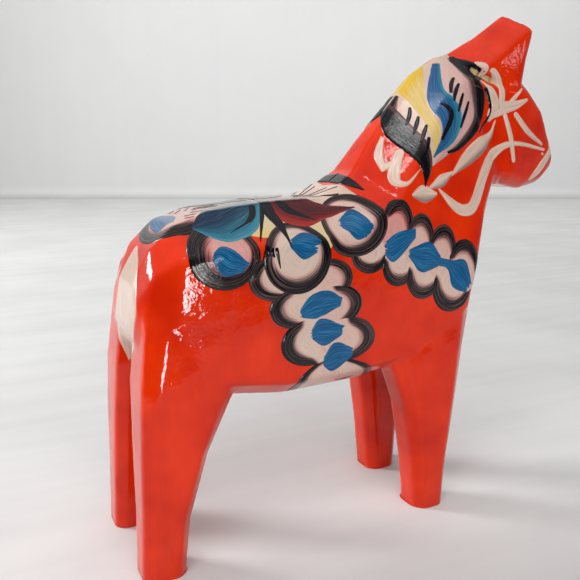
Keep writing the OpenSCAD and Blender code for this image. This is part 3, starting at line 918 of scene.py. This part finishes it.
class HORSE_OT_saddle(bpy.types.Operator):
    """Brush the petals, leaves and dabs of the saddle"""

    bl_idname = "horse.saddle"
    bl_label = "Saddle"

    def execute(self, context):
        for side, name in SIDES:
            ground = Brush(context, side, 20)
            ground.between(
                [(-39, 0, 123), (-24, 0, 126), (0, 0, 128), (18, 0, 132)],
                [(-33, 9, 124), (-24, 22, 117), (-2, 25, 113), (5, 26, 110), (16, 22, 121), (24, 18, 128)],
                fade=0.5,
            )
            ground.piece("ground_brushed", "yellow_paint", f"yellow_ground_{name}")

            for lobe, centre, radii, tilt, rim, out, hug, tone, seed, level in (
                ("flank_lobe", (-33, 110.5), (12.5, 11), 0, 0.8, -140, 0.4, 0.75, 30, 1),
                ("girth_lobe", (-6.5, 108), (13.5, 12.5), 0, 0.6, -75, 0.4, 0.0, 40, 2),
                ("withers_lobe", (18, 118), (13, 11), 15, 0.66, -40, 0.35, 0.15, 50, 2),
            ):
                petal = Brush(context, side, seed)
                petal.level = level
                petal.round_mark(centre, radii, tilt=tilt, rim=rim, outward=out, hug=hug, tone=tone)
                petal.piece("petal_brushed", "petal_paint", f"{lobe}_{name}")

            dabs = Brush(context, side, 60)
            dabs.level = 3
            for upper, lower, ragged in (
                (
                    [(-37.5, 112), (-33, 114), (-24, 108)],
                    [(-38, 109.5), (-34, 104), (-27, 105)],
                    (1.6, 2.0),
                ),
                ([(-9.5, 115), (-3, 117), (3, 115)], [(-10, 112), (-5, 107.5), (0, 109)], (1.4, 2.6)),
                ([(12, 120), (19, 124), (25, 118)], [(12, 117.5), (17, 113), (22, 114)], (2.0, 1.2)),
            ):
                dabs.between(upper, lower, ragged=ragged)
            dabs.piece("blue_brushed", "blue_paint", f"saddle_dabs_{name}")

            leaf = Brush(context, side, 70)
            leaf.level = 3
            leaf.between(
                [(-41.5, 16, 119.5), (-31, 6, 124), (-14, 0, 127)],
                [(-41, 17, 119), (-34, 23, 115), (-28, 24, 114.5), (-19, 21, 118), (-14, 12, 126)],
                ragged=(0, 0.8),
            )
            leaf.piece("teal_leaf_brushed", "teal_paint", f"teal_leaf_{name}")

            leaf = Brush(context, side, 80)
            leaf.level = 3
            leaf.between(
                [(-12, 0, 127), (1, 3, 128), (7, 12, 126), (20.5, 19.5, 124.5)],
                [(-13, 12, 126), (-9, 19, 120), (-1, 22, 118), (8, 20, 120.5), (20.5, 20, 124)],
                ragged=(0.8, 0),
            )
            leaf.piece("wine_leaf_brushed", "dark_red_paint", f"red_leaf_{name}")

            commas = Brush(context, side, 90)
            commas.level = 4
            for points, widths in (
                ([(-9.5, 1, 127), (-12, 14, 124), (-10.5, 20, 119), (-9.5, 27, 112)], [2.5, 5, 4, 0.5]),
                ([(-11, 0, 127), (-14.5, 14, 124), (-20, 25, 114)], [2, 2.5, 0.5]),
                ([(-17, 11, 126), (-20, 17, 121.5), (-29.5, 21, 117)], [3.5, 3, 0.5]),
                ([(-7, 9, 127), (-4.5, 15, 123.5), (4.5, 20, 120)], [4, 4.5, 0.5]),
                ([(-18.5, 114), (-18, 112), (-17.5, 109.5)], [1, 2, 1]),
                ([(-16, 113), (-16.5, 111), (-15.5, 109)], [1, 2, 1]),
                ([(-15, 113), (-14.5, 110), (-13.5, 105)], [2, 2, 0.5]),
                ([(-41.5, 9, 122.5), (-38, 12, 122)], [1, 0.5]),
                ([(-40.5, 5, 123), (-36.5, 9, 123)], [1, 0.5]),
                ([(-37.5, 3, 124), (-33.5, 8, 123.5)], [1, 0.5]),
                ([(-36, 1, 124.5), (-26, 2, 125.5)], [0.5, 1]),
                ([(8, 8, 127.5), (14, 12, 128), (17.5, 13, 128.5)], [0.5, 1, 1]),
                ([(9, 4, 128.5), (15, 8, 129.5), (19, 10, 130.5)], [0.5, 1, 1.5]),
                ([(4, 1, 128), (12, 3, 129), (17, 5, 131)], [0.5, 1, 1]),
            ):
                commas.stroke(points, widths, fade=0.4)
            commas.piece("black_brushed", "black_paint", f"saddle_strokes_{name}")

            patch = Brush(context, side, 95)
            patch.level = 3
            patch.between(
                [(25, 0, 136), (24.5, 8, 134.5), (27, 15.5, 130)],
                [(20, 0, 132.5), (20.5, 9, 131.5), (26.5, 15.5, 129)],
                fade=1.0,
                ragged=(0, 0.8),
            )
            patch.piece("black_brushed", "black_paint", f"neck_foot_patch_{name}")
        return {"FINISHED"}


# ---------------------------------------------------------------- girth and breast straps


class HORSE_OT_straps(bpy.types.Operator):
    """Brush the scalloped girth and breast strap with their blue waves"""

    bl_idname = "horse.straps"
    bl_label = "Girth and Breast Strap"

    def execute(self, context):
        for side, name in SIDES:
            girth = Brush(context, side, 110)
            for centre, radii, out, tone in (
                ((-15, 102), (10.5, 8), -150, 0.1),
                ((6, 100), (10, 7.5), 25, 0.35),
                ((-5.5, 91), (12.5, 8), -165, 0.1),
                ((8.5, 90), (11.5, 8), 10, 0.3),
                ((-1.5, 78), (12, 9), -160, 0.0),
                ((13, 77), (13, 8.5), -5, 0.2),
            ):
                girth.round_mark(centre, radii, rim=0.62, outward=out, hug=0.2, cut=0.42, tone=tone)
                girth.level += 0.35
            girth.level = 0.6
            girth.between(
                [(1, 70), (-6, 65), (-8, 18, 58), (-8, 0, 58)],
                [(14, 70), (25, 65), (28, 18, 59.5), (29, 0, 59.5)],
                fade=5.0,
                tone=0.2,
            )
            girth.piece("petal_brushed", "petal_paint", f"girth_scallops_{name}")

            wave = Brush(context, side, 130)
            wave.level = 3
            for upper, lower, ragged in (
                (
                    [(-6.5, 90), (-2, 95), (5, 96.5), (12, 93)],
                    [(-5.5, 87), (1, 86), (11, 89.5)],
                    (1.6, 0.6),
                ),
                ([(-2, 82), (2.5, 86.5), (13, 82.5)], [(-1.5, 79), (4, 75.5), (11.5, 78.5)], (1.4, 0.8)),
                ([(3, 71), (8.5, 77), (17, 73.5)], [(3.5, 68), (8, 65.5), (16, 70)], (1.4, 1.0)),
            ):
                wave.between(upper, lower, ragged=ragged)
            wave.stroke([(11, 22, 60.5), (15, 21, 61), (19.5, 21.5, 61.5)], [1, 2.5, 1], ragged=(0.8, 0.8))
            wave.piece("blue_brushed", "blue_paint", f"girth_wave_{name}")

            breast = Brush(context, side, 150)
            breast.level = 0
            for centre, radii, tilt, out, tone in (
                ((23, 108.5), (8.5, 8), -20, -100, 0.1),
                ((34.5, 117), (7.5, 10.5), -15, 50, 0.9),
                ((36.5, 103.5), (8, 9), -15, -105, 0.1),
                ((45, 111.5), (7.5, 10.5), -15, 55, 0.35),
                ((48.5, 99), (9, 10.5), -15, -105, 0.1),
                ((56.5, 106), (8, 11), -15, 60, 0.35),
                ((62.5, 93.5), (10.5, 11.5), -15, -110, 0.1),
                ((68.5, 99.5), (9.5, 11), -10, 65, 0.3),
            ):
                breast.round_mark(
                    centre, radii, tilt=tilt, rim=0.66, outward=out, hug=0.2, cut=0.38, tone=tone
                )
                breast.level += 0.3
            breast.piece("petal_brushed", "petal_paint", f"breast_scallops_{name}")

            wave = Brush(context, side, 170)
            wave.level = 4
            for upper, lower, ragged in (
                (
                    [(29, 112), (35, 115.5), (43.5, 116.5)],
                    [(29.5, 106.5), (34, 104), (43.5, 112.5)],
                    (2.2, 0.6),
                ),
                ([(39.5, 108.5), (50, 111), (56, 105)], [(40, 105.5), (46, 99), (54.5, 100.5)], (1.2, 0.6)),
                (
                    [(54, 105), (62, 103), (70, 102), (73, 92.5)],
                    [(53.5, 101), (59, 99), (61.5, 92), (69, 88.5)],
                    (0.8, 1.6),
                ),
            ):
                wave.between(upper, lower, ragged=ragged)
            wave.piece("blue_brushed", "blue_paint", f"breast_wave_{name}")
        return {"FINISHED"}


# ---------------------------------------------------------------- mane


class HORSE_OT_mane(bpy.types.Operator):
    """Brush the mane's petals, rims and dashes"""

    bl_idname = "horse.mane"
    bl_label = "Mane"

    def execute(self, context):
        for side, name in SIDES:
            patch = Brush(context, side, 210)
            patch.between(
                [(74, 1, 183.5), (57, 0, 175), (44, 0, 160), (47.5, 16, 149), (52.5, 20.5, 139.5)],
                [(73.5, 5, 181), (78.5, 14, 165), (78, 15.5, 153), (66, 18, 145), (53.5, 20.5, 138.5)],
                fade=1.2,
                tone=0.25,
            )
            patch.piece("mane_ground_brushed", "petal_paint", f"mane_patch_{name}")

            rims = Brush(context, side, 220)
            rims.level = 2
            rims.between(
                [
                    (75.5, 3, 182),
                    (80.5, 12, 173),
                    (83.5, 14, 163),
                    (80, 15, 153),
                    (69, 18, 145),
                    (61.5, 19, 143),
                ],
                [(71.5, 3.5, 181.5), (74, 13, 170.5), (76, 15, 158), (67.5, 18, 148), (61, 19, 144.5)],
                fade=2.2,
                tone=1.0,
            )
            rims.level = 3
            rims.between(
                [(73.5, 3, 182.5), (80, 8, 180), (86.5, 9, 175)],
                [(72, 4.5, 179.5), (76, 12, 172), (85.5, 11.5, 172.5)],
                fade=1.6,
                ragged=(0.6, 2.0),
            )
            rims.stroke([(83.5, 13.5, 169.5), (86.5, 14, 160), (80, 15, 151.5)], [2.5, 1.5, 0.5], fade=0.6)
            rims.between(
                [(43, 0, 158), (40, 8, 150.5), (44.5, 18, 143), (48.5, 22, 136), (49, 22, 130.5)],
                [(48, 0, 162.5), (50, 10, 154.5), (53, 20, 146), (53.5, 21, 138.5), (49.5, 22, 131)],
                fade=2.0,
                ragged=(0, 0.4),
                tone=0.8,
            )
            rims.level = 1.4
            rims.between(
                [(43, 0, 159), (50, 0, 166.5)],
                [(46.5, 7, 157.5), (50.5, 3, 165)],
                fade=2.0,
                tone=0.95,
            )
            rims.piece("rim_brushed", "black_paint", f"mane_rim_{name}")

            petal = Brush(context, side, 230)
            petal.level = 1
            petal.between(
                [(50.5, 0, 167), (51.5, 9, 161), (53.5, 17, 152.5), (53.5, 20, 142)],
                [(63.5, 0, 178.5), (57.5, 10, 165), (57.5, 15, 158.5), (59, 18, 151), (54, 20, 142)],
                fade=1.0,
            )
            petal.piece("yellow_brushed", "yellow_paint", f"yellow_petal_{name}")

            petal = Brush(context, side, 240)
            petal.level = 2
            petal.between(
                [(65, 2.5, 179), (57, 11, 164), (59, 18.5, 152), (53.5, 20, 142)],
                [(68.5, 4, 179), (64.5, 13, 167.5), (70.5, 16, 159), (66.5, 18, 148.5), (54, 20, 141.5)],
                fade=0.8,
                ragged=(0.8, 0),
            )
            petal.piece("teal_petal_brushed", "blue_paint", f"blue_petal_{name}")

            dashes = Brush(context, side, 250)
            dashes.level = 4
            dashes.stroke(
                [(60.5, 14.5, 162.5), (64.5, 17, 158), (58.5, 18.5, 148)], [1.5, 3.5, 2], fade=0.35
            )
            for points in (
                [(70, 11, 173), (67.5, 12.5, 170), (65.5, 15, 166)],
                [(70.5, 13.5, 170.5), (67.5, 15.5, 167), (66, 16, 163)],
                [(71.5, 15, 167), (70, 15.5, 163.5), (68, 16, 159)],
                [(74.5, 15, 164), (72.5, 15.5, 159.5), (69, 17, 153)],
                [(51.5, 8, 161), (50, 10, 157.5), (47.5, 11.5, 153.5)],
                [(53, 12, 157.5), (51, 13.5, 154.5), (48.5, 15, 150)],
                [(54, 16, 154.5), (52, 17, 151), (49.5, 18.5, 147)],
                [(53, 19, 150), (51.5, 20, 146), (50, 20.5, 142)],
            ):
                dashes.stroke(points, [1.5, 2.3, 1.8], fade=0.35)
            dashes.piece("black_brushed", "black_paint", f"mane_dashes_{name}")
        return {"FINISHED"}


# ---------------------------------------------------------------- bridle and scrolls


class HORSE_OT_bridle(bpy.types.Operator):
    """Brush the cream scrolls of the neck and the bridle"""

    bl_idname = "horse.bridle"
    bl_label = "Bridle and Scrolls"

    def cream(self, context, side, seed, node, strokes, tone=0.0, level=1):
        mark = Brush(context, side, seed)
        for points, other in strokes:
            mark.level = level
            if isinstance(other[0], tuple):
                mark.between(points, other, fade=0.9, ragged=(0.3, 0.3), tone=tone)
            else:
                mark.stroke(points, other, fade=0.9, ragged=(0.5, 0.5), tone=tone)
            level += 0.4
        mark.piece("cream_brushed", "cream_paint", node)

    def execute(self, context):
        for side, name in SIDES:
            self.cream(context, side, 310, f"neck_scroll_{name}", [
                (
                    [(39, 7, 150), (34, 10, 143), (34.5, 15, 136)],
                    [(40, 8.5, 149), (37, 12.5, 142), (38, 15.5, 137)],
                ),
                (
                    [(43, 15, 145.5), (39, 17, 138), (37.5, 20, 133), (41, 22.5, 132.5), (47.5, 21.5, 138)],
                    [3.5, 5, 4.5, 2, 0.5],
                ),
                ([(34.5, 14.5, 138), (36.5, 15, 138.5), (39.5, 15.5, 140.5)], [2.5, 3.5, 1.5]),
            ])
            self.cream(context, side, 320, f"neck_leaves_{name}", [
                (
                    [(42, 24, 129), (48, 22, 132), (55.5, 21.5, 129)],
                    [(42.5, 24, 127.5), (49, 23, 125), (55.5, 22, 127.5)],
                ),
                (
                    [(51, 21.5, 131), (57, 21, 135.5), (64, 19.5, 137)],
                    [(52, 22, 130), (59, 21, 131), (64.5, 19.5, 136)],
                ),
                (
                    [(89, 14, 157), (86, 14, 152), (79, 15.5, 149.5), (70.5, 18, 144), (63, 20, 135.5)],
                    [(90, 14, 156.5), (87, 14, 148), (79, 17, 141.5), (63.5, 20, 134.5)],
                ),
            ], tone=0.7)
            self.cream(context, side, 330, f"rein_{name}", [
                (
                    [
                        (56, 130.5),
                        (64, 124),
                        (70, 121.5),
                        (75.5, 123.5),
                        (82, 135),
                        (88, 142.5),
                        (100, 147.5),
                        (122, 145),
                    ],
                    [1, 4, 5, 5.5, 5.5, 5, 2.5, 1.5],
                ),
            ])
            self.cream(context, side, 340, f"forelock_{name}", [
                ([(85.5, 156), (89, 160.5), (100, 163), (107, 165.5)], [1.5, 6, 4, 1.5]),
                ([(90.5, 160.5), (86.5, 168), (83, 172)], [5, 4, 1]),
                ([(92.5, 161.5), (92, 170), (88.5, 175.5), (86, 176)], [3.5, 3.5, 3.5, 1]),
                ([(96, 162.5), (100, 166.5), (104.5, 170)], [3, 2, 1]),
                (
                    [(80.5, 10, 179.5), (84.5, 11.5, 177), (83.5, 11.5, 172.5), (88.5, 14, 163.5)],
                    [2.5, 3.5, 1.5, 3],
                ),
            ])
            self.cream(context, side, 350, f"cheek_strap_{name}", [
                ([(94, 160), (98.5, 150), (101.5, 139.5)], [2.5, 3, 2.5]),
            ])
            self.cream(context, side, 360, f"nose_line_{name}", [
                ([(99.5, 160), (108, 153), (120, 147)], [2.5, 3, 1.5]),
                ([(119.5, 143.5), (121.5, 143)], [1.5, 1.5]),
            ])
            self.cream(context, side, 370, f"muzzle_band_{name}", [
                ([(124.5, 149.5), (126, 144.5), (119, 136.5), (112.5, 132)], [2, 4, 4, 1.5]),
            ])
        return {"FINISHED"}


# ---------------------------------------------------------------- chest middle


class HORSE_OT_chest(bpy.types.Operator):
    """Brush the breast strap's middle across the chest"""

    bl_idname = "horse.chest"
    bl_label = "Chest"

    def execute(self, context):
        chest = Brush(context, RIGHT, 410)
        chest.level = 2
        face = (Vector((0, -1, 0)), Vector((-0.25, 0, 1)).normalized())
        for origin, radii, out in (((110, 0, 104), (11, 9), 90), ((110, 0, 91), (12, 9.5), -90)):
            chest.round_mark(
                (0, 0), radii, rim=0.42, outward=out, hug=0.2, cut=0.4, tone=0.15, plane=(origin, *face)
            )
            chest.level += 0.4
        chest.piece("petal_brushed", "petal_paint", "chest_scallops")

        wave = Brush(context, RIGHT, 420)
        wave.level = 4
        wave.between(
            [(84, -12, 97), (85, -6, 101), (86, 0, 101.6), (85, 6, 101), (84, 12, 97)],
            [(83, -12, 93), (84, -6, 93.4), (84, 0, 92.6), (84, 6, 93.4), (83, 12, 93)],
            ragged=(0.8, 0.8),
        )
        wave.piece("blue_brushed", "blue_paint", "chest_wave")
        return {"FINISHED"}


# ---------------------------------------------------------------- stage


class HORSE_OT_stage(bpy.types.Operator):
    """Set up the pale floor and backdrop, the soft lights and the camera"""

    bl_idname = "horse.stage"
    bl_label = "Stage"

    def execute(self, context):
        stage = context.scene.horse_stage
        scene = context.scene
        scene.view_settings.view_transform = "Standard"
        place, yaw = Vector(stage.camera_place) * SCALE, stage.camera_yaw
        ahead = Vector((math.sin(yaw), math.cos(yaw), 0))
        beside = Vector((ahead.y, -ahead.x, 0))

        camera = bpy.data.objects.new("camera", bpy.data.cameras.new("camera"))
        camera.location = place
        camera.rotation_euler = (math.radians(90) - stage.camera_pitch, 0, -yaw)
        camera.data.lens = stage.lens
        camera.data.clip_start = 0.005
        scene.collection.objects.link(camera)
        scene.camera = camera

        sheet = bmesh.new()
        seam = Vector((place.x, place.y, -0.00015)) + ahead * stage.wall_distance
        near = stage.wall_distance + stage.board_behind
        corners = [
            sheet.verts.new(seam + beside * across - ahead * back)
            for across, back in ((-4, near), (4, near), (4, 0), (-4, 0))
        ]
        sheet.faces.new(corners)
        edge = next(e for e in sheet.edges if set(e.verts) == set(corners[2:]))
        risen = bmesh.ops.extrude_edge_only(sheet, edges=[edge])["geom"]
        bmesh.ops.translate(
            sheet, verts=[p for p in risen if isinstance(p, bmesh.types.BMVert)], vec=(0, 0, 4)
        )
        fold = next(e for e in sheet.edges if set(e.verts) == set(corners[2:]))
        bmesh.ops.bevel(
            sheet, geom=[fold], offset=0.04, affect="EDGES", segments=6, profile=0.5, material=-1
        )
        data = bpy.data.meshes.new("backdrop")
        sheet.to_mesh(data)
        sheet.free()
        data.shade_smooth()
        material, tree, shader = finish("pale_board", 0.5, 0.0)
        coordinates = add(tree, "ShaderNodeTexCoord").outputs["Object"]
        cloud = add(
            tree, "ShaderNodeTexNoise", {"Vector": coordinates, "Scale": 9.0, "Detail": 5.0}
        ).outputs["Fac"]
        drawn = add(
            tree,
            "ShaderNodeMapping",
            {"Vector": coordinates, "Rotation": (0, 0, yaw), "Scale": (3.0, 60.0, 1.0)},
        ).outputs[0]
        grain = add(
            tree, "ShaderNodeTexNoise", {"Vector": drawn, "Scale": 1.0, "Detail": 4.0}
        ).outputs["Fac"]
        cloud = math_node(
            tree, "ADD", math_node(tree, "MULTIPLY", cloud, 0.6), math_node(tree, "MULTIPLY", grain, 0.4)
        )
        floor = ramp(tree, cloud, [(0.38, rgba((0.61, 0.61, 0.605))), (0.62, rgba((0.68, 0.68, 0.675)))])
        wall = ramp(tree, cloud, [(0.3, rgba((0.76, 0.765, 0.76))), (0.7, rgba((0.79, 0.79, 0.785)))])
        height = add(tree, "ShaderNodeSeparateXYZ", {0: coordinates}).outputs["Z"]
        risen = add(tree, "ShaderNodeMapRange", {"Value": height, 1: 0.0, 2: 0.05}).outputs[0]
        board = mix(tree, ramp(tree, risen, [(0.0, 0.0), (0.3, 1.0)]), floor, wall)
        seam_shade = ramp(tree, risen, [(0.0, 0.0), (0.04, 0.35), (0.2, 0.25), (0.45, 0.0)])
        board = mix(tree, seam_shade, board, rgba((0.34, 0.34, 0.33)))
        tree.links.new(board, shader.inputs["Base Color"])
        data.materials.append(material)
        backdrop = bpy.data.objects.new("backdrop", data)
        scene.collection.objects.link(backdrop)

        world = bpy.data.worlds.new("room")
        scene.world = world
        world.use_nodes = True
        way = add(world.node_tree, "ShaderNodeTexCoord").outputs["Generated"]
        split = add(world.node_tree, "ShaderNodeSeparateXYZ", {0: way})
        towards = add(
            world.node_tree, "ShaderNodeVectorMath", {0: way, 1: ahead}, operation="DOT_PRODUCT"
        ).outputs["Value"]
        towards = add(world.node_tree, "ShaderNodeMapRange", {"Value": towards, 1: -1.0, 2: 1.0}).outputs[0]
        walls = ramp(world.node_tree, towards, [(0.4, stage.dark_side), (0.75, 0.45), (1.0, 0.7)])
        ceiling = ramp(world.node_tree, split.outputs["Z"], [(0.45, 0.0), (0.95, 0.85)])
        light = mix(world.node_tree, 1.0, walls, ceiling, "LIGHTEN")
        background = world.node_tree.nodes["Background"]
        world.node_tree.links.new(light, background.inputs["Color"])
        background.inputs["Strength"].default_value = stage.room_light

        for name, where, aim, size, power, glossy in (
            (
                "fill",
                place - ahead * 0.7 + Vector((0, 0, 0.62)),
                Vector((0, 0, 0.1)),
                (1.6, 1.2),
                stage.fill_light,
                False,
            ),
            (
                "wash",
                place + ahead * 1.2 + Vector((0, 0, 1.15)),
                place + ahead * 2.1 + Vector((0, 0, 0.3)),
                (3.0, 0.5),
                stage.wall_light,
                False,
            ),
            (
                "pane",
                Vector((0.03, -1.0, -0.048)),
                Vector((-0.078, -0.027, 0.1)),
                (0.11, 0.12),
                stage.pane_light * PANE_SHARE,
                True,
            ),
            (
                "ceiling",
                Vector((-0.31, -0.33, 1.27)),
                Vector((0.012, -0.014, 0.15)),
                (0.1, 0.1),
                stage.pane_light * CEILING_SHARE,
                True,
            ),
            (
                "glint",
                Vector((0.99, -0.72, 0.54)),
                Vector((0.075, -0.01, 0.19)),
                (0.07, 0.07),
                stage.pane_light * GLINT_SHARE,
                True,
            ),
            (
                "window",
                Vector((0, 0, 0.1)) - beside * 1.3 + ahead * 0.25 + Vector((0, 0, 0.5)),
                Vector((0, 0, 0.1)),
                (0.4, 0.5),
                stage.window_light,
                True,
            ),
        ):
            lamp = bpy.data.lights.new(name, "AREA")
            lamp.shape, lamp.size, lamp.size_y, lamp.energy = "RECTANGLE", size[0], size[1], power
            holder = bpy.data.objects.new(name, lamp)
            holder.location = where
            holder.rotation_euler = (aim - where).to_track_quat("-Z", "Y").to_euler()
            holder.visible_glossy = glossy
            scene.collection.objects.link(holder)
        return {"FINISHED"}


class HORSE_PT_panel(bpy.types.Panel):
    """Sizes, colours and steps of the horse"""

    bl_label = "Dala Horse"
    bl_idname = "HORSE_PT_panel"
    bl_space_type = "VIEW_3D"
    bl_region_type = "UI"
    bl_category = "Dala Horse"

    def draw(self, context):
        for group in (context.scene.horse_sizes, context.scene.horse_colours, context.scene.horse_stage):
            box = self.layout.box()
            for name in group.__annotations__:
                box.prop(group, name)
        for operator in OPERATORS:
            self.layout.operator(operator.bl_idname)


GROUPS = (("horse_sizes", HorseSizes), ("horse_colours", HorseColours), ("horse_stage", HorseStage))
OPERATORS = (
    HORSE_OT_finishes,
    HORSE_OT_body,
    HORSE_OT_rump,
    HORSE_OT_saddle,
    HORSE_OT_straps,
    HORSE_OT_mane,
    HORSE_OT_bridle,
    HORSE_OT_chest,
    HORSE_OT_stage,
)


def register():
    for name, group in GROUPS:
        bpy.utils.register_class(group)
        setattr(bpy.types.Scene, name, PointerProperty(type=group))
    for operator in OPERATORS:
        bpy.utils.register_class(operator)
    bpy.utils.register_class(HORSE_PT_panel)


def unregister():
    bpy.utils.unregister_class(HORSE_PT_panel)
    for operator in reversed(OPERATORS):
        bpy.utils.unregister_class(operator)
    for name, group in reversed(GROUPS):
        delattr(bpy.types.Scene, name)
        bpy.utils.unregister_class(group)


def main():
    register()
    bpy.ops.horse.finishes()
    bpy.ops.horse.body()
    bpy.ops.horse.rump()
    bpy.ops.horse.saddle()
    bpy.ops.horse.straps()
    bpy.ops.horse.mane()
    bpy.ops.horse.bridle()
    bpy.ops.horse.chest()
    bpy.ops.horse.stage()


if __name__ == "__main__":
    main()
